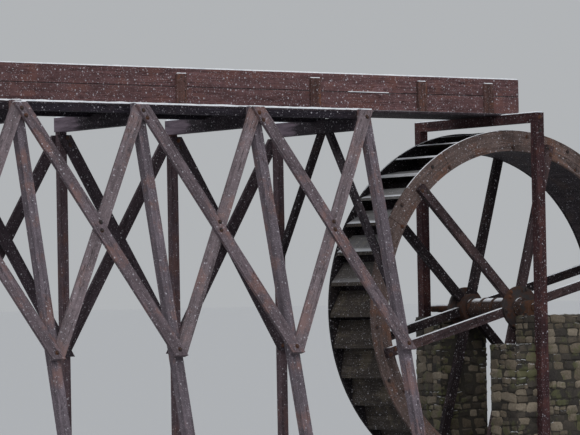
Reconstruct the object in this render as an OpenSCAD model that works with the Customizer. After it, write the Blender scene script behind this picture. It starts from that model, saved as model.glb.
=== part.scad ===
// Overshot water wheel with its timber flume, braced trestle, gallows frame and stone piers.
// Millimetres. x runs downstream along the flume, y away from the viewed side, z up from the pit floor.
// The drawing is laid out from the wheel's axle and then moved so that the origin is the middle of the base.

/* [Wheel] */
// Outer radius of the shroud rings
wheel_radius = 2740; // [2650:10:2800]
// Radial depth of the shroud rings, which is the bucket depth
shroud_depth = 320; // [290:5:360]
// Width of the wheel over both shrouds
wheel_width = 1140; // [1060:10:1180]
// Thickness of one shroud ring
shroud_thickness = 50; // [40:1:60]
// Thickness of the sole boards that close the buckets' backs
sole_thickness = 40; // [30:1:50]
// Number of buckets round the rim
bucket_count = 36; // [30:1:40]
// Thickness of a bucket board
bucket_board = 28; // [20:1:35]
// Angle by which a bucket's lip trails its root
bucket_trail = 8; // [4:0.5:10]
// Distance from a bucket's lip to the rings' rim
lip_inset = 6; // [4:1:10]
// Angle of the first bucket's root above the horizontal at rest
bucket_start = 3.5; // [0:0.5:9]
// Number of arms on each side
arm_count = 6; // [5:1:7]
// Width of an arm seen from the side
arm_width = 140; // [120:5:160]
// Thickness of an arm along the axle
arm_thickness = 90; // [70:5:100]
// Angle of the first arm above the horizontal at rest
arm_start = 14.5; // [0:0.5:30]
// Length by which an arm's end laps over its ring
arm_lap = 180; // [120:10:240]

/* [Axle] */
// Radius of the axle's barrel
axle_radius = 150; // [130:5:170]
// Radius of the gudgeons that turn in the bearings
gudgeon_radius = 60; // [50:1:70]
// Length of the barrel past each hub
barrel_end = 30; // [10:5:50]
// Length of the front gudgeon past its bearing
gudgeon_end = 20; // [10:5:40]
// Radius of the hub's boss
boss_radius = 225; // [200:5:250]
// Length of the boss behind the arms
boss_back = 80; // [60:5:100]
// Radius of the hub's flange plate
flange_radius = 330; // [300:10:380]
// Thickness of the flange plate
flange_thickness = 50; // [40:1:60]
// Free length of the axle past the back pier
takeoff_length = 150; // [80:10:200]
// Radius of the axle's free end
takeoff_radius = 55; // [45:1:58]
// Gap all round the gudgeon in its bearing
running_gap = 0.05; // [0.03:0.01:0.08]

/* [Flume] */
// Width over the outer faces of the flume's sides
flume_width = 1000; // [900:10:1080]
// Height of the sides above the floor
side_height = 540; // [480:10:600]
// Thickness of the side planks
side_thickness = 50; // [40:1:60]
// Thickness of the floor planks
floor_thickness = 35; // [30:1:45]
// How far the floor planks reach past each side
ledge = 100; // [80:5:130]
// Distance the flume's mouth reaches past the axle
mouth_reach = 210; // [120:10:260]
// Distance from the first bent to the flume's upstream end
tail_reach = 400; // [300:10:600]
// Drop of the flume for each unit of length
fall = 0.006; // [0:0.001:0.01]
// Space between the wheel's crown and the underside of the floor
crown_gap = 220; // [210:5:250]
// Width of a batten along the flume
batten_width = 180; // [140:5:200]
// Thickness of a batten
batten_thickness = 32; // [25:1:40]
// Distance from a batten's top to the flume's rim
batten_drop = 80; // [50:5:120]

/* [Trestle] */
// Distance from the axle to the last bent
wheel_bay = 2890; // [2850:10:3000]
// Distance from bent to bent
bay = 2000; // [1800:10:2100]
// Width of a stringer under the flume's edge
stringer_width = 140; // [120:5:160]
// Depth of a stringer
stringer_depth = 100; // [85:5:130]
// Depth of a cross-beam
beam_depth = 210; // [190:5:240]
// Width of a cross-beam along the flume
beam_width = 160; // [140:5:180]
// Depth of the notch by which a stringer sits over a cross-beam
notch = 40; // [20:1:50]
// Length of the stringers past the last cross-beam
stringer_past = 10; // [5:5:30]
// Distance from the flume's middle to the last cross-beam's back end
beam_back = 1690; // [1640:10:1740]
// How much the back frame closes in on the flume for each unit upstream
back_splay = 0.04; // [0:0.005:0.05]
// Width and thickness of a front leg
leg = 145; // [125:5:160]
// Width and thickness of a back post
post = 120; // [100:5:140]
// Outward lean of the front legs for each unit of height
batter = 0.26; // [0.2:0.01:0.3]
// Width of a front brace
front_brace_width = 185; // [150:5:200]
// Thickness of a front brace
front_brace_thickness = 50; // [40:1:60]
// Width of a back brace
back_brace_width = 185; // [150:5:200]
// Thickness of a back brace
back_brace_thickness = 50; // [40:1:60]
// Height above the floor at which the braces' feet end
brace_foot = 2300; // [2100:50:2500]
// How far the braces' heads stay under the member over them
brace_head_gap = 5; // [5:1:10]
// Gap left at a seat between two members
seat = 0.08; // [0.08:0.01:0.1]
// Width of the last bent's inclined struts
strut_width = 100; // [80:5:120]
// Thickness of the last bent's inclined struts
strut_thickness = 90; // [70:5:110]
// Distance from the flume's middle to the front strut's head
front_strut_head = 230; // [150:10:300]
// Height at which the front strut meets its leg
front_strut_foot = 3270; // [3000:10:3500]
// Distance from the flume's middle to the back strut's head
back_strut_head = 440; // [350:10:500]
// Height at which the back strut meets its post
back_strut_foot = 3810; // [3600:10:4000]

/* [Gallows] */
// Distance of the gallows frame upstream of the axle
gallows_offset = 220; // [150:10:260]
// Length of the gallows cap
cap_length = 3100; // [3060:10:3200]
// Depth and width of the gallows cap and its posts
cap_depth = 145; // [130:5:150]

/* [Piers and bearings] */
// Clear height of the wheel above the pit floor
pit_clearance = 160; // [120:10:240]
// Space between the wheel's hub and a pier
pier_gap = 60; // [50:5:90]
// Distance of a bearing from its pier's inner edge
bearing_inset = 60; // [40:5:100]
// Length of the front pier downstream of the axle
pier_reach = 1900; // [1400:50:2300]
// Length of the front pier's high part upstream of the axle
pier_step = 160; // [150:10:220]
// Length of the front pier's low part upstream of its high part
low_length = 500; // [300:10:700]
// Drop from the high part to the low part
low_drop = 430; // [300:10:600]
// Half the length of the back pier
back_pier_half = 450; // [350:10:550]
// Length of a bearing block along the axle
bearing_length = 200; // [160:5:240]
// Height from a pier's top to the axle
bearing_height = 130; // [120:5:160]
// Thickness of a bearing's body round the gudgeon
bearing_wall = 50; // [40:1:60]
// How far a bearing's foot plate reaches past the body
foot_reach = 35; // [20:1:45]
// Thickness of a bearing's foot plate
foot_thickness = 40; // [30:1:45]

/* [Hidden] */
$fn = 96;
stations = 5;
// Middles of the battens along the flume
batten_places = [-10300, -6030, -3660, -1680, -400];
hub_height = pit_clearance + wheel_radius;
sole_inner = wheel_radius - shroud_depth;
half_wheel = wheel_width / 2;
inner_half = half_wheel - shroud_thickness;
arm_face = half_wheel + arm_thickness;
hub_outer = arm_face + flange_thickness;
axle_end = hub_outer + barrel_end;
pier_inner = hub_outer + pier_gap;
pier_outer = cap_length / 2 - cap_depth;
bearing_middle = pier_inner + bearing_inset + bearing_length / 2;
flume_start = -(wheel_bay + (stations - 1) * bay + tail_reach);
floor_under = hub_height + wheel_radius + crown_gap;
floor_top = floor_under + floor_thickness;
floor_half = flume_width / 2 + ledge;
beam_top = floor_under - stringer_depth + notch;
beam_under = beam_top - beam_depth;
stringer_end = -(wheel_bay - beam_width / 2 - stringer_past);
back_turn = atan(back_splay);
post_inner = beam_back - post / cos(back_turn) - back_splay * strut_thickness / 2;
lean = atan(batter);
knee = beam_top;
brace_head = (floor_top - knee) / cos(lean) - brace_head_gap;
takeoff_end = pier_outer + takeoff_length;
body_half = gudgeon_radius + bearing_wall;
foot_half = body_half + foot_reach;
y_front = -(floor_half + leg + batter * knee);
y_back = max(cap_length / 2, beam_back + back_brace_thickness, takeoff_end);
mid_x = (flume_start + wheel_radius) / 2;
mid_y = (y_front + y_back) / 2;

// Station i counts from 1 at the upstream end to 5 next to the wheel.
function station(i) = -(wheel_bay + (stations - i) * bay);
// Back end of station i's cross-beam.
function back_end(i) = beam_back - back_splay * (stations - i) * bay;
// Place of station i along the back frame, from the last bent.
function along_back(i) = -(stations - i) * bay / cos(back_turn);
// Height of a line that falls with the flume, at x.
function fallen(level, x) = level - fall * x;

// Everything is drawn from the axle's middle and moved here to the middle of the base.
module placed() translate([-mid_x, -mid_y, 0]) children();

// A flat outline in x and z, given thickness from y_low to y_high.
module upright(y_low, y_high)
  translate([0, y_high, 0]) rotate([90, 0, 0]) linear_extrude(y_high - y_low) children();

// A flat outline in y and z, given thickness from x_low to x_high.
module crosswise(x_low, x_high)
  translate([x_low, 0, 0]) rotate([90, 0, 90]) linear_extrude(x_high - x_low) children();

// A member that falls with the flume: plumb ends, top and underside parallel to the flume's floor.
module falling(x_low, x_high, low, high)
  polygon([[x_low, fallen(low, x_low)], [x_high, fallen(low, x_high)],
           [x_high, fallen(high, x_high)], [x_low, fallen(high, x_low)]]);

// A post that stands on the pit floor and is cut at the top to meet a falling member.
module standing(x_low, x_high, high)
  polygon([[x_low, 0], [x_high, 0], [x_high, fallen(high, x_high)], [x_low, fallen(high, x_low)]]);

// A board between two points of a flat outline, with its ends cut level.
module slanted(from, to, width) {
  run = to[0] - from[0];
  rise = to[1] - from[1];
  half = width / 2 * norm([run, rise]) / abs(rise);
  polygon([[from[0] - half, from[1]], [from[0] + half, from[1]], [to[0] + half, to[1]], [to[0] - half, to[1]]]);
}

// The flume: two sides that stand on a plank floor, with battens over the side planks' joints.
module flume_side(side) color([0.42, 0.20, 0.14]) placed()
  upright(side < 0 ? -flume_width / 2 : flume_width / 2 - side_thickness,
          side < 0 ? -flume_width / 2 + side_thickness : flume_width / 2)
    falling(flume_start, mouth_reach, floor_top, floor_top + side_height);

module flume_floor() color([0.36, 0.18, 0.13]) placed()
  upright(-floor_half, floor_half) falling(flume_start, mouth_reach, floor_under, floor_top);

module flume_battens(side) color([0.40, 0.21, 0.16]) placed()
  for (x = batten_places)
    upright(side < 0 ? -flume_width / 2 - batten_thickness : flume_width / 2,
            side < 0 ? -flume_width / 2 : flume_width / 2 + batten_thickness)
      falling(x - batten_width / 2, x + batten_width / 2, floor_top, floor_top + side_height - batten_drop);

// The stringers lie under the floor's edges as far as the last bent and are notched over the cross-beams.
module stringer(side) color([0.45, 0.36, 0.34]) placed()
  upright(side < 0 ? -floor_half : floor_half - stringer_width,
          side < 0 ? -floor_half + stringer_width : floor_half)
    difference() {
      falling(flume_start, stringer_end, floor_under - stringer_depth, floor_under);
      for (i = [1 : stations])
        falling(station(i) - beam_width / 2, station(i) + beam_width / 2, beam_under, beam_top);
    }

// The cross-beams carry the stringers; their front ends are cut to the lean of the legs.
module cross_beam(i) color([0.24, 0.20, 0.19]) placed()
  difference() {
    upright(-floor_half - leg, back_end(i))
      falling(station(i) - beam_width / 2, station(i) + beam_width / 2, beam_under, beam_top);
    crosswise(station(i) - beam_width, station(i) + beam_width)
      polygon([[-floor_half - batter * knee, 0], [-floor_half, knee], [-floor_half, knee + beam_depth],
               [-floor_half - 2 * leg - batter * knee, knee + beam_depth], [-floor_half - 2 * leg - batter * knee, 0]]);
  }

// The front legs stand plumb against the cross-beams' ends and lean outward below them.
module front_leg(i) color([0.47, 0.38, 0.37]) placed() {
  top = fallen(floor_top, station(i));
  crosswise(station(i) - leg / 2, station(i) + leg / 2)
    polygon([[-floor_half - batter * knee, 0], [-floor_half, knee], [-floor_half, top],
             [-floor_half - leg + batter * (top - knee), top], [-floor_half - leg - batter * knee, 0]]);
}

// The back frame stands plumb under the cross-beams' back ends, on a line of its own.
module on_back_frame() placed()
  translate([station(stations), beam_back, 0]) rotate(back_turn) children();

module back_post(i) color([0.20, 0.17, 0.17]) on_back_frame()
  upright(-post, 0)
    standing(along_back(i) - post / 2, along_back(i) + post / 2,
             fallen(beam_under, station(i)) + fall * along_back(i) - seat);

// The front braces cross in each bay: the rising boards lie on the legs and the falling boards lie on them.
module on_front_face(layer)
  translate([0, -floor_half - leg, knee]) rotate([-lean, 0, 0])
    upright(-(layer + 1) * (front_brace_thickness + seat), -layer * front_brace_thickness - (layer + 1) * seat)
      children();

module front_falling_braces() color([0.50, 0.41, 0.40]) placed()
  for (i = [1 : stations - 1])
    on_front_face(1)
      slanted([station(i), brace_head],
              [station(i + 1), -(knee - brace_foot) / cos(lean)], front_brace_width);

module front_rising_braces() color([0.46, 0.37, 0.36]) placed()
  for (i = [1 : stations - 1])
    on_front_face(0)
      slanted([station(i), -(knee - brace_foot) / cos(lean)],
              [station(i + 1), brace_head], front_brace_width);

// The back braces cross in each bay on the two faces of the back posts.
module back_falling_braces() color([0.22, 0.18, 0.18]) on_back_frame()
  for (i = [1 : stations - 1])
    upright(-post - seat - back_brace_thickness, -post - seat)
      slanted([along_back(i), beam_under - brace_head_gap], [along_back(i + 1), brace_foot], back_brace_width);

module back_rising_braces() color([0.19, 0.16, 0.16]) on_back_frame()
  for (i = [1 : stations - 1])
    upright(seat, seat + back_brace_thickness)
      slanted([along_back(i), brace_foot], [along_back(i + 1), beam_under - brace_head_gap], back_brace_width);

// Two struts spread from the middle of the last cross-beam to the leg and the post of that bent.
module bent_strut(head_place, foot_place, foot) placed() {
  head = fallen(beam_under, station(stations) + strut_thickness / 2) - seat;
  splay = (head_place - foot_place) / (head - foot);
  crosswise(station(stations) - strut_thickness / 2, station(stations) + strut_thickness / 2)
    intersection() {
      slanted([foot_place - 3 * splay * strut_width, foot - 3 * strut_width],
              [head_place + splay * strut_width, head + strut_width], strut_width);
      polygon([[-floor_half - batter * knee + seat, 0], [-floor_half - batter * (knee - head) + seat, head],
               [post_inner - seat, head], [post_inner - seat, 0]]);
    }
}

module front_strut() color([0.30, 0.25, 0.25])
  bent_strut(front_strut_head, -floor_half - batter * (knee - front_strut_foot), front_strut_foot);

module back_strut() color([0.28, 0.23, 0.23])
  bent_strut(back_strut_head, post_inner, back_strut_foot);

// The gallows: a cap under the flume's mouth on two plumb posts that stand clear of the wheel.
module gallows_cap() color([0.26, 0.18, 0.15]) placed()
  upright(-cap_length / 2, cap_length / 2)
    falling(-gallows_offset - cap_depth / 2, -gallows_offset + cap_depth / 2,
            floor_under - seat - cap_depth, floor_under - seat);

module gallows_post(side) color([0.33, 0.24, 0.21]) placed()
  upright(side < 0 ? -cap_length / 2 : cap_length / 2 - cap_depth,
          side < 0 ? -cap_length / 2 + cap_depth : cap_length / 2)
    standing(-gallows_offset - cap_depth / 2, -gallows_offset + cap_depth / 2, floor_under - 2 * seat - cap_depth);

// The piers stand on the pit floor on both sides of the wheel, between it and the gallows posts;
// the front one steps down upstream.
module front_pier() color([0.45, 0.43, 0.33]) placed()
  upright(-pier_outer, -pier_inner)
    polygon([[-pier_step - low_length, 0], [pier_reach, 0], [pier_reach, hub_height - bearing_height],
             [-pier_step, hub_height - bearing_height], [-pier_step, hub_height - bearing_height - low_drop],
             [-pier_step - low_length, hub_height - bearing_height - low_drop]]);

module back_pier() color([0.43, 0.41, 0.33]) placed()
  upright(pier_inner, pier_outer)
    polygon([[-back_pier_half, 0], [back_pier_half, 0], [back_pier_half, hub_height - bearing_height],
             [-back_pier_half, hub_height - bearing_height]]);

// A bearing: a foot plate, a body with a round head and a bore in which the gudgeon turns.
module bearing(side) color([0.23, 0.21, 0.20]) placed()
  upright(side * bearing_middle - bearing_length / 2, side * bearing_middle + bearing_length / 2)
    translate([0, hub_height]) difference() {
      union() {
        circle(body_half);
        translate([-body_half, -bearing_height]) square([2 * body_half, bearing_height]);
        translate([-foot_half, -bearing_height]) square([2 * foot_half, foot_thickness]);
      }
      circle(gudgeon_radius + running_gap);
    }

// Turning pieces are drawn round the axle's line, which runs along y.
module turning(y_low, y_high) placed()
  translate([0, y_high, hub_height]) rotate([90, 0, 0]) linear_extrude(y_high - y_low) children();

// The same on one side of the wheel, from near to far off its middle.
module on_side(side, near, far) turning(side < 0 ? -far : near, side < 0 ? -near : far) children();

module axle() color([0.22, 0.18, 0.16]) {
  turning(-axle_end, axle_end) circle(axle_radius);
  turning(-bearing_middle - bearing_length / 2 - gudgeon_end, -axle_end) circle(gudgeon_radius);
  turning(axle_end, pier_outer) circle(gudgeon_radius);
  turning(pier_outer, takeoff_end) circle(takeoff_radius);
}

// A hub: a boss that the arms butt against and a flange plate over the arms' outer faces.
module hub(side) color([0.24, 0.20, 0.18]) {
  on_side(side, half_wheel - boss_back, arm_face) difference() { circle(boss_radius); circle(axle_radius); }
  on_side(side, arm_face, hub_outer) difference() { circle(flange_radius); circle(axle_radius); }
}

// The arms lie on the rings' outer faces and lap over them.
module arms(side) color([0.25, 0.18, 0.15])
  on_side(side, half_wheel, arm_face)
    difference() {
      for (k = [0 : arm_count - 1])
        rotate(arm_start + k * 360 / arm_count)
          translate([0, -arm_width / 2]) square([sole_inner + arm_lap, arm_width]);
      circle(boss_radius);
    }

module shroud(side) color([0.40, 0.31, 0.20])
  on_side(side, inner_half, half_wheel) difference() { circle(wheel_radius); circle(sole_inner); }

module sole() color([0.20, 0.16, 0.14])
  turning(-inner_half, inner_half)
    difference() { circle(sole_inner + sole_thickness); circle(sole_inner); }

// A bucket's boards stand square on the sole for a third of the depth and then trail back to the rim.
function polar(radius, angle) = [radius * cos(angle), radius * sin(angle)];

module bucket() {
  root = sole_inner + sole_thickness;
  elbow = root + (wheel_radius - root) / 3;
  lip = wheel_radius - lip_inset;
  slip = bucket_board / wheel_radius * 180 / PI;
  polygon([polar(sole_inner, -slip / 2), polar(elbow, -slip / 2), polar(lip, bucket_trail - slip),
           polar(lip, bucket_trail + slip), polar(elbow - lip_inset, slip / 2), polar(sole_inner, slip / 2)]);
}

module buckets() color([0.33, 0.24, 0.18])
  turning(-inner_half, inner_half)
    difference() {
      for (k = [0 : bucket_count - 1]) rotate(bucket_start + k * 360 / bucket_count) bucket();
      circle(sole_inner + sole_thickness);
    }

flume_side(-1);  // flume_front_side
flume_side(1);  // flume_back_side
flume_floor();
flume_battens(-1);  // flume_front_battens
flume_battens(1);  // flume_back_battens
stringer(-1);  // front_stringer
stringer(1);  // back_stringer
cross_beam(1);  // cross_beam_1
cross_beam(2);  // cross_beam_2
cross_beam(3);  // cross_beam_3
cross_beam(4);  // cross_beam_4
cross_beam(5);  // cross_beam_5
front_leg(1);  // front_leg_1
front_leg(2);  // front_leg_2
front_leg(3);  // front_leg_3
front_leg(4);  // front_leg_4
front_leg(5);  // front_leg_5
back_post(1);  // back_post_1
back_post(2);  // back_post_2
back_post(3);  // back_post_3
back_post(4);  // back_post_4
back_post(5);  // back_post_5
front_falling_braces();
front_rising_braces();
back_falling_braces();
back_rising_braces();
front_strut();
back_strut();
gallows_cap();
gallows_post(-1);  // gallows_front_post
gallows_post(1);  // gallows_back_post
front_pier();
back_pier();
bearing(-1);  // front_bearing
bearing(1);  // back_bearing
axle();
hub(-1);  // front_hub
hub(1);  // back_hub
arms(-1);  // front_arms
arms(1);  // back_arms
shroud(-1);  // front_shroud
shroud(1);  // back_shroud
sole();
buckets();
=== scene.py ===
import bpy, math, random
from mathutils import Matrix, Vector


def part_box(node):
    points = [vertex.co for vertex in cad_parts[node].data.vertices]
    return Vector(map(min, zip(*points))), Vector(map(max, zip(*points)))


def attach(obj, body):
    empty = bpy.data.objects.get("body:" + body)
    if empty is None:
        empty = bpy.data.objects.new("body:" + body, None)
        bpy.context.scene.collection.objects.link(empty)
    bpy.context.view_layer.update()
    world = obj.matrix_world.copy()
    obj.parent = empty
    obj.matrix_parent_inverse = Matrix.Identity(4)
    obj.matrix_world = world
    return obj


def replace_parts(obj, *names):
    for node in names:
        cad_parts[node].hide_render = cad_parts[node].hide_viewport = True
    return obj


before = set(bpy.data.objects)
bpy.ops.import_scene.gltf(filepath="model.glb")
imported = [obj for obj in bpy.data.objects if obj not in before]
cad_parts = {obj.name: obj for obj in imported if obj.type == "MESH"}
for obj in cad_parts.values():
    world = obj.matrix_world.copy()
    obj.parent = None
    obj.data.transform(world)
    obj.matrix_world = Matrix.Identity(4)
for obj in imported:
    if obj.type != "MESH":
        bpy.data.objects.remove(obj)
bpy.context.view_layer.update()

# The view: a long lens, well back and to the left of the wheel and level with its axle. It is turned
# 35 degrees from square to the flume and held a little out of plumb, as in the picture.
ring_low, ring_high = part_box("front_shroud")
sole_low, sole_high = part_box("sole")
axle_x = (ring_low.x + ring_high.x) / 2
axle_y = (sole_low.y + sole_high.y) / 2
axle_z = (ring_low.z + ring_high.z) / 2
left_of_axle, before_axle, above_axle = 33.033, 42.45, 0.125
turn, rise, roll = 0.603, 0.025, -0.019
focal_pixels, picture_pixels, film_width = 3441, 580, 36
level_right = Vector((math.cos(turn), -math.sin(turn), 0))
ahead = Vector((math.sin(turn) * math.cos(rise), math.cos(turn) * math.cos(rise), math.sin(rise)))
level_up = level_right.cross(ahead)
right = math.cos(roll) * level_right + math.sin(roll) * level_up
up = -math.sin(roll) * level_right + math.cos(roll) * level_up
camera = bpy.data.objects.new("camera", bpy.data.cameras.new("camera"))
bpy.context.scene.collection.objects.link(camera)
camera.matrix_world = Matrix.Translation((
    axle_x - left_of_axle, axle_y - before_axle, axle_z + above_axle)) @ Matrix(
    (right, up, -ahead)).transposed().to_4x4()
camera.data.lens = focal_pixels / picture_pixels * film_width
camera.data.clip_end = 4000
bpy.context.scene.camera = camera


# The flume's sides and floor: red-brown sawn planks, two to a side and six across the floor, spiked
# together and left to weather. The joints between the planks and at their ends have opened up.
class Wire:
    def __init__(self, finish, socket):
        self.finish, self.socket = finish, socket

    def __add__(self, other): return self.finish.maths("ADD", self, other)
    def __radd__(self, other): return self.finish.maths("ADD", other, self)
    def __sub__(self, other): return self.finish.maths("SUBTRACT", self, other)
    def __rsub__(self, other): return self.finish.maths("SUBTRACT", other, self)
    def __mul__(self, other): return self.finish.maths("MULTIPLY", self, other)
    def __rmul__(self, other): return self.finish.maths("MULTIPLY", other, self)
    def __truediv__(self, other): return self.finish.maths("DIVIDE", self, other)
    def __rtruediv__(self, other): return self.finish.maths("DIVIDE", other, self)


class Finish:
    def __init__(self, name):
        self.material = bpy.data.materials.new(name)
        self.material.use_nodes = True
        self.tree = self.material.node_tree
        self.shader = self.tree.nodes["Principled BSDF"]

    def add(self, kind, settings, sockets, output=0):
        node = self.tree.nodes.new(kind)
        for key, value in settings.items():
            if key == "stops":
                ramp = node.color_ramp.elements
                while len(ramp) < len(value):
                    ramp.new(0.5)
                for stop, (place, colour) in zip(ramp, value):
                    stop.position, stop.color = place, colour
            else:
                setattr(node, key, value)
        for key, value in sockets.items():
            if isinstance(value, Wire):
                self.tree.links.new(value.socket, node.inputs[key])
            else:
                node.inputs[key].default_value = value
        return Wire(self, node.outputs[output])

    def maths(self, operation, *values):
        return self.add("ShaderNodeMath", {"operation": operation}, dict(enumerate(values)))

    def place(self, which="Object"):
        return self.add("ShaderNodeTexCoord", {}, {}, which)

    def own_tint(self):
        return self.add("ShaderNodeAttribute", {"attribute_name": "own_tint"}, {}, "Fac")

    def reach(self, vector, direction):
        return self.add("ShaderNodeVectorMath", {"operation": "DOT_PRODUCT"},
                        {0: vector, 1: direction}, "Value")

    def vector(self, x, y, z):
        return self.add("ShaderNodeCombineXYZ", {}, {0: x, 1: y, 2: z})

    def noise(self, vector, scale, detail=4.0, rough=0.55):
        return self.add("ShaderNodeTexNoise", {},
                        {"Vector": vector, "Scale": scale, "Detail": detail, "Roughness": rough})

    def spots(self, vector, scale):
        return self.add("ShaderNodeTexVoronoi", {}, {"Vector": vector, "Scale": scale}, "Distance")

    def step(self, value, low, high):
        return self.add("ShaderNodeMapRange", {"interpolation_type": "SMOOTHSTEP"},
                        {0: value, 1: low, 2: high, 3: 0.0, 4: 1.0})

    def mix(self, amount, first, second):
        return self.add("ShaderNodeMix", {"data_type": "RGBA"}, {0: amount, 6: first, 7: second}, 2)

    def ramp(self, value, *stops):
        return self.add("ShaderNodeValToRGB", {"stops": stops}, {0: value})

    def close(self, colour, rough, height, depth):
        bump = self.add("ShaderNodeBump", {}, {"Strength": 1.0, "Distance": depth, "Height": height})
        for key, wire in (("Base Color", colour), ("Roughness", rough), ("Normal", bump)):
            self.tree.links.new(wire.socket, self.shader.inputs[key])
        return self.material


def dress(material, *nodes):
    for node in nodes:
        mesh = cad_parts[node].data
        mesh.materials.clear()
        mesh.materials.append(material)


def tone(colour, factor):
    return (colour[0] * factor, colour[1] * factor, colour[2] * factor, 1)


def flakes(finish, place, scale, radius, soft, drift, detail, frost):
    return finish.step(radius - finish.spots(place, scale), 0.0, soft) * finish.step(
        finish.noise(place, drift, detail), frost - 0.1, frost)


def timber(name, colour, grain=None, lay=None, patch=None, seams=None, snow=0.75, frost=0.575,
           lie=None, over=None):
    finish = Finish(name)
    place = finish.place()
    if lay:
        along, across, depth = lay(finish, place)
    else:
        grain = Vector(grain).normalized()
        aside = Vector((0, 1, 0)) if abs(grain.y) < 0.9 else Vector((0, 0, 1))
        side = grain.cross(aside).normalized()
        along, across, depth = (finish.reach(place, tuple(way))
                                for way in (grain, side, grain.cross(side)))
    streaks = finish.noise(finish.vector(along * 0.9, across * 16.0, depth * 16.0), 1.0, 6.0, 0.65)
    fibre = finish.noise(finish.vector(along * 5.0, across * 150.0, depth * 150.0), 1.0, 3.0, 0.6)
    blotch = finish.noise(place, 1.1, 3.0, 0.5)
    worn = finish.noise(place, 9.0, 5.0, 0.7)
    grit = finish.noise(place, 48.0, 3.0, 0.6)
    shade = (streaks * 0.55 + fibre * 0.2 + blotch * 0.3 + worn * 0.3 + grit * 0.3
             + finish.own_tint() * 0.07 - 0.34)
    colour_now = finish.ramp(shade, (0.32, tone(colour, 0.45)), (0.46, tone(colour, 0.85)),
                             (0.56, tone(colour, 1.15)), (0.70, tone(colour, 1.9)))
    if patch:
        stain = finish.step(finish.noise(place, 2.3, 5.0, 0.65) * 0.75 + streaks * 0.25, 0.5, 0.62)
        colour_now = finish.mix(stain * 0.75, colour_now, patch + (1,))
    check = finish.noise(finish.vector(along * 1.3, across * 34.0, depth * 34.0), 1.0, 2.0, 0.5)
    crack = 1.0 - finish.step(finish.maths("ABSOLUTE", check - 0.5), 0.0, 0.013)
    split = crack * finish.step(blotch, 0.42, 0.56)
    if seams:
        split = finish.maths("MAXIMUM", split * 0.8, seams(finish, place))
    colour_now = finish.mix(split * 0.8, colour_now, tone(colour, 0.2))
    flake = finish.maths("MAXIMUM", flakes(finish, place, 15.0, 0.24, 0.10, 31.0, 2.0, frost),
                         flakes(finish, place, 37.0, 0.30, 0.12, 77.0, 1.0, frost) * 0.7)
    colour_now = finish.mix(flake * 0.62, colour_now, (0.55, 0.53, 0.57, 1))
    face_up = finish.step(finish.reach(finish.place("Normal"), (0, 0, 1)), 0.55, 0.9)
    bare = 0.62 - snow * 0.4
    cover = face_up * finish.step(worn * 0.5 + blotch * 0.5, bare, bare + 0.12)
    if lie:
        cover = cover * lie(finish, place)
    if over:
        colour_now = over(finish, place, colour_now)
    colour_now = finish.mix(cover, colour_now, (0.80, 0.82, 0.86, 1))
    height = streaks * 0.5 + fibre * 0.35 - split * 1.4 + cover * 0.8
    finish.shader.inputs["Specular IOR Level"].default_value = 0.12
    return finish.close(colour_now, 0.86 - streaks * 0.18, height, 0.006)


def clean_start():
    if bpy.context.object and bpy.context.object.mode != "OBJECT":
        bpy.ops.object.mode_set(mode="OBJECT")
    bpy.ops.object.select_all(action="DESELECT")


def block(size, location=(0, 0, 0)):
    clean_start()
    bpy.ops.mesh.primitive_cube_add(size=1, location=location)
    obj = bpy.context.object
    obj.scale = size
    bpy.ops.object.transform_apply(location=True, rotation=False, scale=True)
    return obj


def pick(obj, chosen, kind="FACE"):
    bpy.ops.object.mode_set(mode="EDIT")
    bpy.ops.mesh.select_mode(type=kind)
    bpy.ops.mesh.select_all(action="DESELECT")
    bpy.ops.object.mode_set(mode="OBJECT")
    mesh = obj.data
    for item in {"FACE": mesh.polygons, "EDGE": mesh.edges, "VERT": mesh.vertices}[kind]:
        item.select = bool(chosen(item, mesh))
    bpy.ops.object.mode_set(mode="EDIT")


def spans(edge, mesh, axis, least):
    first, last = (mesh.vertices[number].co for number in edge.vertices)
    return abs(first[axis] - last[axis]) > least


def joined(pieces, name, material, body, smooth=40):
    clean_start()
    for piece in pieces:
        piece.select_set(True)
    bpy.context.view_layer.objects.active = pieces[0]
    bpy.ops.object.join()
    obj = bpy.context.view_layer.objects.active
    obj.name = obj.data.name = name
    obj.data.materials.clear()
    obj.data.materials.append(material)
    bpy.ops.object.shade_smooth_by_angle(angle=math.radians(smooth))
    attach(obj, body)
    return obj


def copy_at(pattern, matrix):
    piece = bpy.data.objects.new(pattern.name, pattern.data.copy())
    piece.data.transform(matrix)
    bpy.context.scene.collection.objects.link(piece)
    return piece


flume_fall = 0.006
floor_low, floor_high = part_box("flume_floor")
side_low, side_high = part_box("flume_front_side")
far_low, far_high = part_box("flume_back_side")
joint_level = side_high.z - 0.27
plank_gap, plank_edge, plank_wander = 0.002, 0.004, 0.0015
batten_x = [axle_x + place for place in (-10.3, -6.03, -3.66, -1.68, -0.4)]
chance = random.Random(7)


def fallen(level, x):
    return level - flume_fall * (x - floor_low.x)


def tinted(piece):
    shade = piece.data.attributes.new("own_tint", "FLOAT", "POINT")
    shade.data.foreach_set("value", [chance.random()] * len(piece.data.vertices))
    return piece


def plank_joints(finish, place):
    x, z = finish.reach(place, (1, 0, 0)), finish.reach(place, (0, 0, 1))
    off_joint = finish.maths("ABSOLUTE", z + (x - side_low.x) * flume_fall - joint_level)
    return 1.0 - finish.step(off_joint, 0.003, 0.008)


def off_the_joint(finish, place):
    return 1.0 - plank_joints(finish, place) * 0.9


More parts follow.
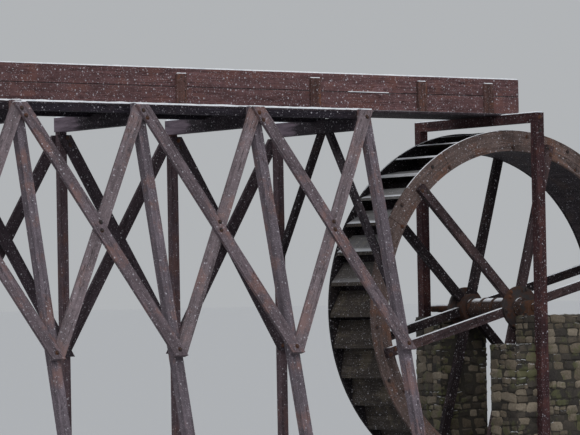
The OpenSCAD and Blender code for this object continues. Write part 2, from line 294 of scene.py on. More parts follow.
def plank(low, high, seed):
    size = high - low
    obj = block(size)
    pick(obj, lambda e, m: True, "EDGE")
    bpy.ops.mesh.bevel(offset=plank_edge, segments=1)
    pick(obj, lambda e, m: spans(e, m, 0, size.x / 2), "EDGE")
    bpy.ops.mesh.subdivide(number_cuts=max(2, int(size.x / 0.4)))
    bpy.ops.mesh.select_all(action="SELECT")
    bpy.ops.transform.vertex_random(offset=plank_wander, uniform=0.0, normal=0.0, seed=seed)
    bpy.ops.object.mode_set(mode="OBJECT")
    slope = Matrix.Identity(4)
    slope[2][0] = -flume_fall
    obj.data.transform(Matrix.Translation((0, 0, flume_fall * floor_low.x)) @ slope @ Matrix.Translation(
        (low + high) / 2))
    return tinted(obj)


flume_red = (0.112, 0.060, 0.061)
flume_boards = timber("flume_boards", flume_red, (1, 0, -flume_fall), patch=(0.150, 0.070, 0.060),
                      seams=plank_joints, frost=0.505, lie=off_the_joint)
dress(flume_boards, "flume_front_side", "flume_back_side")
lower_ends = (batten_x[0], batten_x[2], batten_x[4])
upper_ends = (batten_x[0], batten_x[1], batten_x[3])
for side, low, high in (("front", side_low, side_high), ("back", far_low, far_high)):
    planks = []
    for bottom, top, ends in ((floor_high.z, joint_level - plank_gap, lower_ends),
                              (joint_level + plank_gap, side_high.z, upper_ends)):
        stops = (low.x,) + ends + (high.x,)
        for first, last in zip(stops, stops[1:]):
            inset = chance.uniform(0.0, 0.003)
            planks.append(plank(Vector((first + plank_gap, low.y + inset, bottom)),
                                Vector((last - plank_gap, high.y - inset, top)), 100 + len(planks)))
    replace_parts(joined(planks, "flume_%s_planks" % side, flume_boards, "plant", 20),
                "flume_%s_side" % side)

floor_thickness, floor_rows, row_gap = 0.035, 6, 0.0015
floor_board, floor_stagger = 3.9, 1.3
row_width = (floor_high.y - floor_low.y) / floor_rows
# The floor planks' near-black colour is painted shade, for the flume's shaded underside.
floor_boards = timber("flume_floor_boards", (0.038, 0.029, 0.034), (1, 0, -flume_fall), snow=0.55)
dress(floor_boards, "flume_floor")
planks = []
for row in range(floor_rows):
    near = floor_low.y + row_width * row
    joints = [floor_low.x + floor_board * k - floor_stagger * (row % 3) for k in (1, 2)]
    stops = [floor_low.x] + joints + [floor_high.x]
    for first, last in zip(stops, stops[1:]):
        planks.append(plank(
            Vector((first + plank_gap, near + row_gap, floor_high.z - floor_thickness)),
            Vector((last - plank_gap, near + row_width - row_gap, floor_high.z)), 200 + len(planks)))
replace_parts(joined(planks, "flume_floor_planks", floor_boards, "plant", 20), "flume_floor")


# Snow lies in thin banks on every level edge that the weather reaches: the flume's rims, the floor's
# ledges, the beam ends and the leg heads. Each bank is a low rounded ridge with an uneven top.
def bank(start, end, width, depth, seed, top=(0, 0, 1)):
    start, end = Vector(start), Vector(end)
    run = (end - start).length
    obj = block((run, width, depth))
    pick(obj, lambda e, m: spans(e, m, 0, run / 2), "EDGE")
    bpy.ops.mesh.subdivide(number_cuts=max(2, int(run / 0.12)))
    pick(obj, lambda e, m: all(m.vertices[v].co.z > 0 for v in e.vertices) and not spans(e, m, 1, 1e-6),
         "EDGE")
    bpy.ops.mesh.bevel(offset=min(width, depth * 2) * 0.35, segments=2)
    pick(obj, lambda v, m: v.co.z > -depth * 0.2, "VERT")
    bpy.ops.transform.vertex_random(offset=depth * 0.32, uniform=0.0, normal=0.0, seed=seed)
    bpy.ops.object.mode_set(mode="OBJECT")
    forward = (end - start).normalized()
    upward = (Vector(top) - forward * Vector(top).dot(forward)).normalized()
    axes = Matrix((forward, upward.cross(forward), upward)).transposed().to_4x4()
    obj.data.transform(Matrix.Translation((start + end) / 2 + upward * depth * 0.45) @ axes)
    return obj


snow_finish = Finish("snow")
snow_lumps = snow_finish.noise(snow_finish.place(), 22.0, 4.0, 0.6)
snow_white = snow_finish.close(
    snow_finish.ramp(snow_lumps, (0.3, (0.62, 0.66, 0.72, 1)), (0.6, (0.84, 0.85, 0.88, 1))),
    0.75 - snow_lumps * 0.2, snow_lumps, 0.01)

sunk, ledge_sunk, from_end = 0.004, 0.006, 0.02
rim_bank, ledge_bank, ledge_middle = (0.046, 0.018), (0.088, 0.026), 0.045
banks = []
for low, high in ((side_low, side_high), (far_low, far_high)):
    middle = (low.y + high.y) / 2
    banks.append(bank((low.x + from_end, middle, fallen(high.z, low.x) - sunk),
                      (high.x - from_end, middle, fallen(high.z, high.x) - sunk),
                      *rim_bank, len(banks) + 1))
front_ledge_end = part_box("front_stringer")[1].x + 0.12
for y, x_end in ((floor_low.y + ledge_middle, front_ledge_end),
                 (floor_high.y - ledge_middle, floor_high.x - from_end)):
    banks.append(bank((floor_low.x + from_end, y, fallen(floor_high.z, floor_low.x) - ledge_sunk),
                      (x_end, y, fallen(floor_high.z, x_end) - ledge_sunk),
                      *ledge_bank, len(banks) + 1))


# The battens: short upright boards nailed over the side planks' joints, browner than the planks and
# stained by rust. Snow caps them, and a little has caught in the open joint between two of them.
dress(timber("batten_boards", (0.100, 0.054, 0.048), (0, 0, 1), patch=(0.19, 0.072, 0.030), frost=0.57),
      "flume_front_battens", "flume_back_battens")
batten_drop, batten_middle, batten_bank = 0.084, 0.016, (0.03, 0.016)
for x, length in zip(batten_x, (0.16, 0.15, 0.16, 0.13, 0.15)):
    for y in (side_low.y - batten_middle, far_high.y + batten_middle):
        level = fallen(side_high.z, x) - batten_drop
        banks.append(bank((x - length / 2, y, level), (x + length / 2, y, level), *batten_bank,
                          40 + len(banks)))
joint_start, joint_end, joint_bank = axle_x - 3.05, axle_x - 2.3, (0.02, 0.010)
banks.append(bank((joint_start, side_low.y - sunk, fallen(joint_level, joint_start)),
                  (joint_end, side_low.y - sunk, fallen(joint_level, joint_end)), *joint_bank, 77))


# The two stringers: squared timbers that carry the floor's two edges and are notched over the
# cross-beams. Their near-black colour is painted shade, for the shade under the ledges.
dress(timber("stringer_timber", (0.023, 0.019, 0.026), (1, 0, -flume_fall), patch=(0.032, 0.024, 0.028),
             snow=1.0, frost=0.60), "front_stringer", "back_stringer")


# The cross-beams: squared timbers laid over the legs' heads and the back posts. Under the flume
# they are painted near-black as painted shade; their back ends, past the flume, are painted a lighter
# mauve grey as painted light from the sky, and carry a bank of snow.
beams = ["cross_beam_%d" % i for i in range(1, 6)]
lit_end_start, lit_end_blend, back_closing = far_high.y + 0.64, 0.2, 0.04


def crosswise_lay(finish, place):
    return tuple(finish.reach(place, way) for way in ((0, 1, 0), (1, 0, 0), (0, 0, 1)))


# Painted light: the beam's far end is mixed to a lighter mauve grey where the sky would light it.
def painted_lit_end(finish, place, colour):
    y, x, z = crosswise_lay(finish, place)
    grain = finish.noise(finish.vector(x * 22.0, y * 2.0, z * 22.0), 1.0, 5.0, 0.65)
    lit_mauve = finish.ramp(grain, (0.32, (0.085, 0.064, 0.082, 1)), (0.65, (0.21, 0.165, 0.20, 1)))
    edge = y - x * back_closing + grain * 0.5
    return finish.mix(finish.step(edge, lit_end_start, lit_end_start + lit_end_blend) * 0.85, colour, lit_mauve)


# The beams' near-black base colour is painted shade under the flume.
dress(timber("beam_timber", (0.036, 0.029, 0.036), lay=crosswise_lay, patch=(0.05, 0.038, 0.046),
             snow=1.0, over=painted_lit_end), *beams)
beam_bank_start, beam_bank_depth, from_tip, bare_edges = far_high.y + 0.24, 0.036, 0.01, 0.03
for i, beam in enumerate(beams):
    low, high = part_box(beam)
    middle = (low.x + high.x) / 2
    banks.append(bank((middle, beam_bank_start, high.z - sunk), (middle, high.y - from_tip, high.z - sunk),
                      high.x - low.x - bare_edges, beam_bank_depth, 11 + i))


# The front legs: six-inch posts, battered outward, bolted to the beams' ends and weathered to a dry
# mauve brown. The plank ledge stops against them and their cut heads hold a little snow.
leg_side, batter = 0.145, 0.26
legs = ["front_leg_%d" % i for i in range(1, 6)]
dress(timber("leg_timber", (0.132, 0.109, 0.126), (0, batter, 1), patch=(0.19, 0.112, 0.102), snow=1.0,
             frost=0.56), *legs)
leg_bank, leg_bank_y = (0.09, 0.018), floor_low.y - 0.055
for i, leg in enumerate(legs):
    low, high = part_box(leg)
    middle, reach = (low.x + high.x) / 2, leg_side / 2 - from_tip
    banks.append(bank((middle - reach, leg_bank_y, high.z - sunk),
                      (middle + reach, leg_bank_y, high.z - sunk), *leg_bank, 21 + i))


# The back posts: plumb square posts that stand under the cross-beams, in the flume's shade. Their
# darker colour is painted shade, with red-brown stains.
dress(timber("post_timber", (0.100, 0.069, 0.078), (0, 0, 1), patch=(0.125, 0.066, 0.058)),
      *["back_post_%d" % i for i in range(1, 6)])


# The front braces: two-inch boards crossed in each bay, the falling ones on top, bolted to the legs
# and to each other where they cross. Their heads hold snow beside the ledge.
def drop_of(braces):
    low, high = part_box(braces)
    return high.z - low.z


bay, board_layer, front_drop = 2.0, 0.0501, drop_of("front_falling_braces")
dress(timber("front_falling_timber", (0.130, 0.102, 0.114), (bay, -batter * front_drop, -front_drop),
             patch=(0.205, 0.118, 0.106), snow=0.9, frost=0.56), "front_falling_braces")
dress(timber("front_rising_timber", (0.170, 0.136, 0.147), (bay, batter * front_drop, front_drop),
             patch=(0.215, 0.135, 0.125), snow=0.5, frost=0.56), "front_rising_braces")
lean_out = Vector((0, -1, batter)).normalized()
lean_down = Vector((0, -batter, -1)).normalized()
first_low, first_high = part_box("cross_beam_1")
knee_z = first_high.z - flume_fall * (axle_x - first_low.x)
stations = [(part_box(leg)[0].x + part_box(leg)[1].x) / 2 for leg in legs]
head_half, head_rise, head_bank_depth = 0.085, 0.089, 0.022
head_banks = [(1.5, 0.045), (1.0, 0.09), (1.0, 0.09), (1.0, 0.09), (0.5, 0.045)]


def on_board(x, down, layer):
    return Vector((x, floor_low.y - leg_side, knee_z)) + lean_down * down + lean_out * (board_layer * layer)


for i, (x, (layer, width)) in enumerate(zip(stations, head_banks)):
    banks.append(bank(on_board(x - head_half, -head_rise, layer), on_board(x + head_half, -head_rise, layer),
                      width, head_bank_depth, 61 + i, -lean_down))


# The back braces: boards crossed in each bay like the front ones, but bolted to the two faces of the
# back posts. Their almost black colour is painted shade.
back_drop = drop_of("back_falling_braces")
dress(timber("back_falling_timber", (0.048, 0.036, 0.043), (bay, 0, -back_drop), patch=(0.045, 0.032, 0.038)),
      "back_falling_braces")
dress(timber("back_rising_timber", (0.055, 0.040, 0.047), (bay, 0, back_drop), patch=(0.045, 0.030, 0.034)),
      "back_rising_braces")


# The last bent's two struts: inclined timbers that spread from the beam's middle to the leg and the
# post. They stand under the flume, and their near-black colour is painted shade.
dress(timber("front_strut_timber", (0.030, 0.024, 0.029), (0, 0.545, 0.838), patch=(0.06, 0.045, 0.05)),
      "front_strut")
dress(timber("back_strut_timber", (0.026, 0.019, 0.022), (0, -0.473, 0.881), patch=(0.05, 0.03, 0.03)),
      "back_strut")


# The gallows frame: a heavy cap on two posts, oiled dark red and wet on its weather side. The snow on
# the cap stops short of the flume, which shelters its middle.
gallows_red, gallows_stain = (0.050, 0.024, 0.026), (0.085, 0.036, 0.032)
dress(timber("gallows_post_timber", gallows_red, (0, 0, 1), patch=gallows_stain),
      "gallows_front_post", "gallows_back_post")
dress(timber("gallows_cap_timber", gallows_red, (0, 1, 0), patch=gallows_stain, snow=1.0), "gallows_cap")
cap_low, cap_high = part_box("gallows_cap")
cap_middle, sheltered, cap_bank_depth = (cap_low.x + cap_high.x) / 2, 0.16, 0.02
for first, last in ((cap_low.y + from_tip, side_low.y - sheltered),
                    (far_high.y + sheltered, cap_high.y - from_tip)):
    banks.append(bank((cap_middle, first, cap_high.z - sunk), (cap_middle, last, cap_high.z - sunk),
                      cap_high.x - cap_low.x - bare_edges, cap_bank_depth, 31 + len(banks)))
joined(banks, "snow_banks", snow_white, "plant")


# The piers: rubble laid in lime mortar, wet and mossy. The CAD solid is the mortar body; round it the
# stones stand a little proud, laid in rough courses with staggered joints under flat capping stones.
def mortar_finish():
    finish = Finish("pier_mortar")
    place = finish.place()
    grit = finish.noise(place, 60.0, 6.0, 0.7)
    damp = finish.noise(place, 1.6, 4.0, 0.6)
    colour = finish.ramp(grit * 0.5 + damp * 0.5, (0.3, (0.012, 0.010, 0.008, 1)),
                         (0.65, (0.050, 0.043, 0.033, 1)))
    return finish.close(colour, 0.95 - grit * 0.1, grit, 0.01)


def stone_finish():
    finish = Finish("pier_stone")
    place = finish.place()
    tint = finish.own_tint()
    grain = finish.noise(place, 30.0, 8.0, 0.75)
    damp = finish.noise(place, 0.9, 4.0, 0.6)
    colour = finish.ramp(tint * 0.5 + grain * 0.5,
                         (0.22, (0.018, 0.014, 0.012, 1)), (0.42, (0.052, 0.042, 0.032, 1)),
                         (0.58, (0.105, 0.082, 0.056, 1)), (0.80, (0.24, 0.20, 0.15, 1)))
    moss = finish.step(finish.noise(place, 4.5, 6.0, 0.7) * 0.6 + damp * 0.4, 0.5, 0.58)
    colour = finish.mix(moss * 0.7, colour, (0.085, 0.088, 0.032, 1))
    face_up = finish.step(finish.reach(finish.place("Normal"), (0, 0, 1)), 0.6, 0.95)
    cover = face_up * finish.step(damp * 0.6 + grain * 0.4, 0.48, 0.56)
    colour = finish.mix(cover * 0.9, colour, (0.78, 0.80, 0.84, 1))
    return finish.close(colour, 0.9 - grain * 0.2, grain * 0.6 + moss * 0.5 + cover * 0.5, 0.012)


dress(mortar_finish(), "front_pier", "back_pier")
stone_skin = stone_finish()


def rough_stone(seed):
    obj = block((1, 1, 1))
    pick(obj, lambda f, m: True)
    bpy.ops.mesh.bevel(offset=0.20, segments=1)
    bpy.ops.mesh.select_all(action="SELECT")
    bpy.ops.transform.vertex_random(offset=0.13, uniform=0.0, normal=0.0, seed=seed)
    pick(obj, lambda f, m: f.normal.y < -0.9 and f.area > 0.2)
    bpy.ops.mesh.poke()
    bpy.ops.transform.vertex_random(offset=0.05, uniform=0.0, normal=0.0, seed=seed + 7)
    bpy.ops.object.mode_set(mode="OBJECT")
    return obj


quarried = [rough_stone(seed) for seed in range(1, 9)]
tallest, low_course, longest = 0.19, 0.11, 0.40
proud, nearly_flush = 0.032, 0.012
stone_depth, stone_lap, stone_lean = 0.1, 0.006, 0.16
shortest_cap, cap_depth, cap_joint, cap_sunk = 0.2, 0.05, 0.014, 0.021


def seated(stone):
    for vertex in stone.data.vertices:
        vertex.co.z = max(vertex.co.z, 0.0)
    return tinted(stone)


def rubble(left, right, bottom, top):
    width, height = right - left, top - bottom
    upright = height > low_course and height > width * 0.8
    if height > tallest or (upright and chance.random() < 0.8):
        cut = bottom + height * chance.uniform(0.36, 0.64)
        return rubble(left, right, bottom, cut) + rubble(left, right, cut, top)
    if width > longest or width > height * 2.6:
        cut = left + width * chance.uniform(0.30, 0.70)
        return rubble(left, cut, bottom, top) + rubble(cut, right, bottom, top)
    return [(left, right, bottom, top)]


def course_wall(corner, outward, run, bottom, top, stand_out=proud):
    stones = []
    corner, outward = Vector(corner), Vector(outward)
    along = Vector((0, 0, 1)).cross(outward)
    for left, right, low, high in rubble(0, run, bottom, top):
        centre = corner + along * (left + right) / 2 + Vector((0, 0, (low + high) / 2))
        stand = stand_out * chance.uniform(0.15, 1.0)
        axes = Matrix((along * (right - left + stone_lap), -outward * stone_depth,
                       Vector((0, 0, high - low + stone_lap)))).transposed().to_4x4()
        lean = Matrix.Rotation(chance.uniform(-stone_lean, stone_lean), 4, outward)
        stones.append(seated(copy_at(chance.choice(quarried), Matrix.Translation(
            centre + outward * (stand - stone_depth / 2)) @ lean @ axes)))
    return stones


def flat_stones(low, high, level):
    stones = []
    place = low.x
    while place < high.x - 0.01:
        length = min(chance.uniform(0.3, 0.6), high.x - place)
        if high.x - place - length < shortest_cap:
            length = high.x - place
        split = low.y + (high.y - low.y) * chance.uniform(0.4, 0.6)
        for first, last in ((low.y, split), (split, high.y)):
            axes = Matrix(((length - cap_joint, 0, 0), (0, 0, -cap_depth),
                           (0, last - first - cap_joint, 0))).transposed().to_4x4()
            stones.append(tinted(copy_at(chance.choice(quarried), Matrix.Translation(
                (place + length / 2, (first + last) / 2, level - cap_sunk)) @ axes)))
        place += length
    return stones


def clad(pier, front_stand, back_stand, step_x=None, step_z=None):
    low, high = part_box(pier)
    left, foot = (low.x, low.z) if step_x is None else (step_x, step_z)
    wide, long = high.y - low.y, high.x - left
    stones = course_wall((left, low.y, 0), (0, -1, 0), long, low.z, high.z, front_stand)
    stones += course_wall((high.x, high.y, 0), (0, 1, 0), long, low.z, high.z, back_stand)
    stones += course_wall((high.x, low.y, 0), (1, 0, 0), wide, low.z, high.z)
    stones += course_wall((left, high.y, 0), (-1, 0, 0), wide, foot, high.z)
    stones += flat_stones(Vector((left, low.y, 0)), high, high.z)
    if step_x is not None:
        low_long = step_x - low.x
        stones += course_wall((low.x, low.y, 0), (0, -1, 0), low_long, low.z, step_z, front_stand)
        stones += course_wall((step_x, high.y, 0), (0, 1, 0), low_long, low.z, step_z, back_stand)
        stones += course_wall((low.x, high.y, 0), (-1, 0, 0), wide, low.z, step_z)
        stones += flat_stones(Vector((low.x, low.y, 0)), Vector((step_x - 0.02, high.y, 0)), step_z)
    return stones


step_before_axle, step_down = 0.16, 0.43
front_step = (axle_x - step_before_axle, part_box("front_pier")[1].z - step_down)
joined(clad("front_pier", proud, nearly_flush, *front_step),
       "front_pier_stones", stone_skin, "plant", 30)
joined(clad("back_pier", nearly_flush, proud), "back_pier_stones", stone_skin, "plant", 30)
for stone in quarried:
    bpy.data.objects.remove(stone)


# The bearings: cast iron blocks bolted to the tops of the piers, rough from the sand they were cast
# in. Brown rust has come through their dark paint in patches.
def iron_finish(name, colour, rust):
    finish = Finish(name)
    place = finish.place()
    sand = finish.noise(place, 140.0, 5.0, 0.7)
    patches = finish.noise(place, 7.0, 6.0, 0.7)
    rusty = finish.step(patches * 0.8 + sand * 0.2, 0.44, 0.58)
    colour_now = finish.mix(rusty * 0.9,
                            finish.ramp(sand, (0.3, tone(colour, 0.6)), (0.7, tone(colour, 1.4))),
                            finish.ramp(sand, (0.3, tone(rust, 0.5)), (0.7, tone(rust, 1.3))))
    finish.shader.inputs["Metallic"].default_value = 0.25
    return finish.close(colour_now, 0.6 + rusty * 0.3, sand * 0.6 + rusty * 0.5, 0.002)


dress(iron_finish("cast_iron", (0.045, 0.040, 0.040), (0.12, 0.048, 0.022)),
      "front_bearing", "back_bearing")


# The axle and its hubs: a round barrel of dark timber with iron gudgeons let into its ends, and two
# cast discs that are wedged on it and carry the arms. Past the hubs the gudgeons show, red with rust.
hub_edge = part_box("back_hub")[1].y - axle_y + 0.03


def iron_ends(finish, place, colour):
    off_middle = finish.maths("ABSOLUTE", finish.reach(place, (0, 1, 0)) - axle_y)
    rust = finish.noise(place, 24.0, 6.0, 0.7)
    iron = finish.ramp(rust, (0.35, (0.035, 0.028, 0.026, 1)), (0.62, (0.105, 0.045, 0.024, 1)))
    return finish.mix(finish.step(off_middle, hub_edge + 0.004, hub_edge + 0.012), colour, iron)


dress(timber("axle_timber", (0.050, 0.032, 0.028), lay=crosswise_lay, patch=(0.08, 0.045, 0.03),
             over=iron_ends), "axle")
dress(iron_finish("hub_iron", (0.035, 0.028, 0.028), (0.085, 0.035, 0.02)), "front_hub", "back_hub")


# The arms: six to a side, bolted to the hub and lapped over the ring, their grain running outward. The
# front ones are a dark red-brown, with snow only inside the ring; the back ones are painted nearly
# black as painted shade inside the wheel.
arm_start, arm_angle = math.radians(14.5), math.pi / 3


def wheel_polar(finish, place):
    x = finish.reach(place, (1, 0, 0)) - axle_x
    z = finish.reach(place, (0, 0, 1)) - axle_z
    return (finish.maths("SQRT", x * x + z * z), finish.maths("ARCTAN2", z, x),
            finish.reach(place, (0, 1, 0)))


def arm_lay(finish, place):
    radius, angle, y = wheel_polar(finish, place)
    turned = angle + (4 * math.pi + arm_angle / 2 - arm_start)
    off_arm = finish.maths("MODULO", turned, arm_angle) - arm_angle / 2
    number = finish.maths("FLOOR", turned / arm_angle)
    return (radius * finish.maths("COSINE", off_arm) + number * 7.3,
            radius * finish.maths("SINE", off_arm) + number * 3.1, y)


def inside_ring(finish, place):
    return 1.0 - finish.step(wheel_polar(finish, place)[0], 2.5, 2.58)


dress(timber("front_arm_timber", (0.046, 0.030, 0.032), lay=arm_lay, patch=(0.085, 0.052, 0.05),
             lie=inside_ring), "front_arms")
dress(timber("back_arm_timber", (0.022, 0.016, 0.018), lay=arm_lay, patch=(0.045, 0.03, 0.03)),
      "back_arms")


# The shroud rings: two layers of short boards cut to the curve and lapped joint over joint. The front
# ring has weathered brown with rust-coloured patches; the back one is painted nearly black as painted
# shade inside the wheel.
def ring_lay(finish, place):
    radius, angle, y = wheel_polar(finish, place)
    return angle * 2.6, radius, y


ring_radius = (ring_high.x - ring_low.x) / 2
ring_depth, ring_board_thick, ring_board_gap, twelfth = 0.32, 0.025, 0.0018, math.pi / 6


def about_axle(y, angle):
    return Matrix.Translation((axle_x, y, axle_z)) @ Matrix.Rotation(angle, 4, "Y")


def ring_board(inner, outer, thick, sweep):
    clean_start()
    bpy.ops.mesh.primitive_plane_add(size=1, location=((inner + outer) / 2, 0, 0))
    obj = bpy.context.object
    obj.scale = (outer - inner, thick, 1)
    bpy.ops.object.transform_apply(location=True, rotation=False, scale=True)
    pick(obj, lambda f, m: True)
    bpy.ops.mesh.spin(steps=12, angle=sweep, center=(0, 0, 0), axis=(0, 1, 0))
    bpy.ops.mesh.select_all(action="SELECT")
    bpy.ops.mesh.remove_doubles(threshold=0.0001)
    bpy.ops.mesh.normals_make_consistent(inside=False)
    pick(obj, lambda e, m: False, "EDGE")
    bpy.ops.mesh.edges_select_sharp(sharpness=math.radians(50))
    bpy.ops.mesh.bevel(offset=0.003, segments=1)
    bpy.ops.object.mode_set(mode="OBJECT")
    return obj


pattern = ring_board(ring_radius - ring_depth, ring_radius, ring_board_thick, twelfth - ring_board_gap)
front_ring = timber("front_ring_timber", (0.098, 0.070, 0.063), lay=ring_lay,
                    patch=(0.150, 0.074, 0.050), snow=0.15, frost=0.55)
back_ring = timber("back_ring_timber", (0.018, 0.015, 0.017), lay=ring_lay,
                   patch=(0.035, 0.027, 0.025), snow=0.15)
for side, finish in (("front", front_ring), ("back", back_ring)):
    dress(finish, side + "_shroud")
    low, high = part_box(side + "_shroud")
    layers = [low.y + ring_board_thick / 2, high.y - ring_board_thick / 2]
    if side == "back":
        layers.reverse()
    boards = []
    for layer, y in enumerate(layers):
        for k in range(12):
            boards.append(tinted(copy_at(pattern, about_axle(
                y, -arm_start - twelfth * (k + 0.5 + 0.5 * layer)))))
    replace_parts(joined(boards, side + "_ring_boards", finish, "wheel", 30),
                side + "_shroud")
bpy.data.objects.remove(pattern)


# The sole and the buckets: wet boards laid across the wheel and spiked between the rings. The sole's
# staves lie side by side with open joints, and their near-black colour is painted shade inside the
# rim. Snow lies on the buckets, thickest at their lips.
def bucket_lay(finish, place):
    radius, angle, y = wheel_polar(finish, place)
    return y, angle * 2.5, radius


def on_the_lip(finish, place):
    return finish.step(wheel_polar(finish, place)[0], 2.68, 2.72) * 0.7 + 0.22


sole_wood = timber("sole_boards", (0.044, 0.035, 0.040), lay=bucket_lay, patch=(0.070, 0.050, 0.046),
                   snow=0.0)
dress(sole_wood, "sole")
stave_count, stave_thick, stave_middle, stave_circle, stave_gap = 72, 0.039, 2.4395, 2.44, 0.003
stave_width = stave_circle * 2 * math.pi / stave_count - stave_gap
stave = block((stave_thick, sole_high.y - sole_low.y, stave_width), (stave_middle, 0, 0))
pick(stave, lambda e, m: True, "EDGE")
bpy.ops.mesh.bevel(offset=0.003, segments=1)
bpy.ops.object.mode_set(mode="OBJECT")
staves = []
for k in range(stave_count):
    degrees = 360 / stave_count * k + chance.uniform(-0.06, 0.06)
    staves.append(tinted(copy_at(stave, about_axle(axle_y, math.radians(degrees)))))
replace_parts(joined(staves, "sole_staves", sole_wood, "wheel", 30), "sole")
bpy.data.objects.remove(stave)
dress(timber("bucket_boards", (0.052, 0.043, 0.037), lay=bucket_lay, patch=(0.10, 0.082, 0.058), snow=0.9,
             lie=on_the_lip), "buckets")


# The snow on the crowns: a thin line has settled along the top of each ring. Each is a bank like those
# on the flume, bent to the ring's curve.
def crown_bank(ring, seed):
    low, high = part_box(ring)
    length, past_top = 3.9, 0.12
    obj = bank((-length / 2, 0, 0), (length / 2, 0, 0), 0.022, 0.010, seed)
    for vertex in obj.data.vertices:
        along, aside, height = vertex.co
        angle = math.pi / 2 + past_top - along / ring_radius
        reach = ring_radius - sunk + height
        vertex.co = (axle_x + reach * math.cos(angle), (low.y + high.y) / 2 + aside,
                     axle_z + reach * math.sin(angle))
    return obj


joined([crown_bank("front_shroud", 91), crown_bank("back_shroud", 92)],
       "snow_crowns", snow_white, "wheel")


# The axle's bands: flat iron hoops shrunk on hot, one beside each hub and two between them, to keep
# the barrel from splitting. Their edges are eased and they have a skin of rust.
band_radius, band_width, band_thick = 0.1505, 0.06, 0.01


def axle_band(y):
    clean_start()
    bpy.ops.mesh.primitive_cylinder_add(vertices=64, radius=band_radius, depth=band_width,
                                        end_fill_type="NOTHING")
    hoop = bpy.context.object
    shell = hoop.modifiers.new("hoop", "SOLIDIFY")
    shell.thickness, shell.offset = band_thick, 1.0
    edge = hoop.modifiers.new("edge", "BEVEL")
    edge.width, edge.segments, edge.limit_method = 0.003, 1, "ANGLE"
    for name in ("hoop", "edge"):
        bpy.ops.object.modifier_apply(modifier=name)
    hoop.data.transform(Matrix.Translation((axle_x, y, axle_z)) @ Matrix.Rotation(math.pi / 2, 4, "X"))
    return hoop


joined([axle_band(axle_y + off) for off in (-0.42, -0.14, 0.14, 0.42)], "axle_bands",
       iron_finish("band_iron", (0.035, 0.028, 0.028), (0.10, 0.042, 0.022)), "wheel")


# The bolts: forged square heads over round plate washers, at the joints of the trestle, the gallows
# frame, the bearings and the wheel. Each one is turned as it happened to come tight.
def chamfered(sides, radius, depth, level, chamfer):
    clean_start()
    bpy.ops.mesh.primitive_cylinder_add(vertices=sides, radius=radius, depth=depth, location=(0, 0, level))
    obj = bpy.context.object
    pick(obj, lambda f, m: f.normal.z > 0.9)
    bpy.ops.mesh.bevel(offset=chamfer, segments=1)
    bpy.ops.object.mode_set(mode="OBJECT")
    return obj


def forged_bolt():
    washer = chamfered(sides=12, radius=0.034, depth=0.006, level=0.003, chamfer=0.002)
    head = chamfered(sides=4, radius=0.025, depth=0.018, level=0.014, chamfer=0.004)
    for piece in (washer, head):
        piece.select_set(True)
    bpy.context.view_layer.objects.active = washer
    bpy.ops.object.join()
    return bpy.context.view_layer.objects.active


bolt = forged_bolt()
bolt_iron = iron_finish("bolt_iron", (0.030, 0.024, 0.024), (0.13, 0.050, 0.024))


def driven(pattern, name, places, body):
    pieces = []
    for number, (place, outward) in enumerate(places):
        turned = Vector(outward).normalized().to_track_quat("Z", "Y").to_matrix().to_4x4()
        pieces.append(copy_at(pattern, Matrix.Translation(place) @ turned @ Matrix.Rotation(
            number * 1.1, 4, "Z")))
    return joined(pieces, name, bolt_iron, body, 30)


back_turn = math.atan(back_closing)
back_out = Vector((-math.sin(back_turn), math.cos(back_turn), 0))
back_along = Vector((math.cos(back_turn), math.sin(back_turn), 0))
back_start = Vector((stations[4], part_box("cross_beam_5")[1].y, 0))


def on_back(i, shift, level, face):
    return back_start + back_along * ((i - 4) * bay / math.cos(back_turn) + shift) + back_out * face + Vector(
        (0, 0, level))


post_side, front_foot, back_foot = 0.12, 2.3, 2.38
post_outside, post_inside = board_layer, -(post_side + board_layer)
foot_down = (knee_z - front_foot) / math.cos(math.atan(batter)) - 0.09
head_pair, crossing_pair, back_head_pair = ((0.0, 0.0), (0.05, 0.11)), (-0.10, 0.02), (0.09, 0.19)
trestle_bolts = []
for i, x in enumerate(stations):
    beam_low, beam_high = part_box(beams[i])
    trestle_bolts.append(((x, beam_high.y, (beam_low.z + beam_high.z) / 2), (0, 1, 0)))
    if i < 4:
        middle = (x + stations[i + 1]) / 2
        trestle_bolts += [(on_board(x + shift, down, 2), lean_out) for shift, down in head_pair]
        trestle_bolts += [(on_board(middle, foot_down / 2 + down, 2), lean_out) for down in crossing_pair]
        trestle_bolts += [(on_back(i, down * 0.5, beam_low.z - down, post_inside), -back_out)
                          for down in back_head_pair]
        trestle_bolts.append((on_back(i, 0.05, back_foot, post_outside), back_out))
    if i > 0:
        trestle_bolts.append((on_board(x - 0.02, foot_down, 2), lean_out))
        trestle_bolts += [(on_back(i, -down * 0.5, beam_low.z - down, post_outside), back_out)
                          for down in back_head_pair]
        trestle_bolts.append((on_back(i, -0.05, back_foot, post_inside), -back_out))
trestle_bolts.append((on_board(stations[0] + 0.02, foot_down, 1), lean_out))
trestle_bolts.append((on_board(stations[4] - 0.03, 0.02, 1), lean_out))
for post, side in (("gallows_front_post", -1), ("gallows_back_post", 1)):
    low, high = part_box(post)
    y = low.y if side < 0 else high.y
    for off_joint in (0.07, -0.12):
        trestle_bolts.append((((low.x + high.x) / 2, y, high.z + off_joint), (0, side, 0)))
driven(bolt, "trestle_bolts", trestle_bolts, "plant")

bearing_bolts = []
flange_x, flange_y, flange_z = 0.018, 0.045, 0.04
for bearing in ("front_bearing", "back_bearing"):
    low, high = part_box(bearing)
    for x in (low.x + flange_x, high.x - flange_x):
        for y in (low.y + flange_y, high.y - flange_y):
            bearing_bolts.append(((x, y, low.z + flange_z), (0, 0, 1)))
driven(bolt, "bearing_bolts", bearing_bolts, "plant")

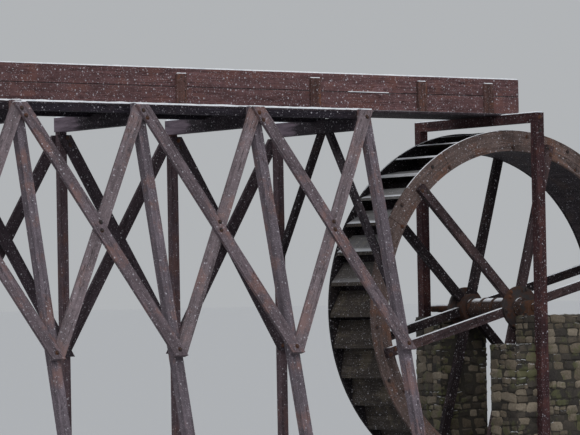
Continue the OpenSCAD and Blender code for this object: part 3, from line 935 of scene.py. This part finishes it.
wheel_bolts = []
hub_pair, ring_pair = ((0.262, 0.03), (0.295, -0.035)), ((2.46, -0.03), (2.55, 0.03))
inner_turn, outer_turn = 0.262, 0.262 * 0.6
board_bolts = ((-inner_turn, 2.48), (inner_turn, 2.48), (-outer_turn, 2.66), (outer_turn, 2.66))
for hub, arms, ring, side in (("front_hub", "front_arms", "front_shroud", -1),
                              ("back_hub", "back_arms", "back_shroud", 1)):
    hub_y, arm_y, ring_y = (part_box(node)[0 if side < 0 else 1].y for node in (hub, arms, ring))
    for k in range(6):
        angle = arm_start + k * arm_angle
        out = Vector((math.cos(angle), 0, math.sin(angle)))
        across = Vector((-math.sin(angle), 0, math.cos(angle)))
        for y, pair in ((hub_y, hub_pair), (arm_y, ring_pair)):
            for radius, off in pair:
                wheel_bolts.append((Vector((axle_x, y, axle_z)) + out * radius + across * off, (0, side, 0)))
        for shift, radius in board_bolts:
            turned = angle + shift
            wheel_bolts.append(((axle_x + radius * math.cos(turned), ring_y,
                                 axle_z + radius * math.sin(turned)), (0, side, 0)))
driven(bolt, "wheel_bolts", wheel_bolts, "wheel")
bpy.data.objects.remove(bolt)


# The nails: hand-cut, with low square heads, seven to a batten: three slanting pairs through both side
# planks and one more near the top.
def cut_nail():
    clean_start()
    bpy.ops.mesh.primitive_cylinder_add(vertices=4, radius=0.013, depth=0.008, location=(0, 0, 0.003))
    obj = bpy.context.object
    pick(obj, lambda f, m: f.normal.z > 0.9)
    bpy.ops.mesh.inset(thickness=0.004)
    bpy.ops.transform.translate(value=(0, 0, 0.003))
    bpy.ops.object.mode_set(mode="OBJECT")
    return obj


nail = cut_nail()
nail_spots = ((-0.05, 0.05), (0.045, 0.07), (-0.04, 0.20), (0.05, 0.22), (-0.05, 0.33), (0.04, 0.35),
              (-0.01, 0.41))
batten_nails = []
for x in batten_x:
    for side, y in ((-1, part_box("flume_front_battens")[0].y), (1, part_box("flume_back_battens")[1].y)):
        batten_nails += [((x + aside, y, fallen(floor_high.z, x) + above), (0, side, 0))
                         for aside, above in nail_spots]
driven(nail, "batten_nails", batten_nails, "plant")
bpy.data.objects.remove(nail)


# The floor and the light: a plain pale floor, one soft sun and an even sky. The camera and the
# reflections see a plain grey backdrop in place of the sky.
clean_start()
bpy.ops.mesh.primitive_plane_add(size=6000, location=(0, 0, -0.004))
floor = bpy.context.object
floor.name = "floor"
pale = Finish("floor_pale")
pale.shader.inputs["Base Color"].default_value = (0.443, 0.452, 0.462, 1)
pale.shader.inputs["Roughness"].default_value = 0.95
floor.data.materials.append(pale.material)

sun = bpy.data.objects.new("sun", bpy.data.lights.new("sun", "SUN"))
sun.data.energy = 1.1
sun.data.angle = 0.6
sun.rotation_euler = (0.75, -0.25, -0.35)
bpy.context.scene.collection.objects.link(sun)
world = bpy.data.worlds.new("world")
bpy.context.scene.world = world
world.use_nodes = True
tree = world.node_tree
sky = tree.nodes["Background"]
sky.inputs[0].default_value = (0.80, 0.82, 0.85, 1)
sky.inputs[1].default_value = 0.85
backdrop = tree.nodes.new("ShaderNodeBackground")
backdrop.inputs[0].default_value = (0.44, 0.455, 0.47, 1)
rays = tree.nodes.new("ShaderNodeLightPath")
shown = rays.outputs["Is Camera Ray"]
for ray in ("Is Glossy Ray", "Is Transmission Ray"):
    either_ray = tree.nodes.new("ShaderNodeMath")
    tree.links.new(shown, either_ray.inputs[0])
    tree.links.new(rays.outputs[ray], either_ray.inputs[1])
    shown = either_ray.outputs[0]
either = tree.nodes.new("ShaderNodeMixShader")
tree.links.new(shown, either.inputs[0])
tree.links.new(sky.outputs[0], either.inputs[1])
tree.links.new(backdrop.outputs[0], either.inputs[2])
tree.links.new(either.outputs[0], tree.nodes["World Output"].inputs[0])
bpy.context.scene.view_settings.view_transform = "Standard"
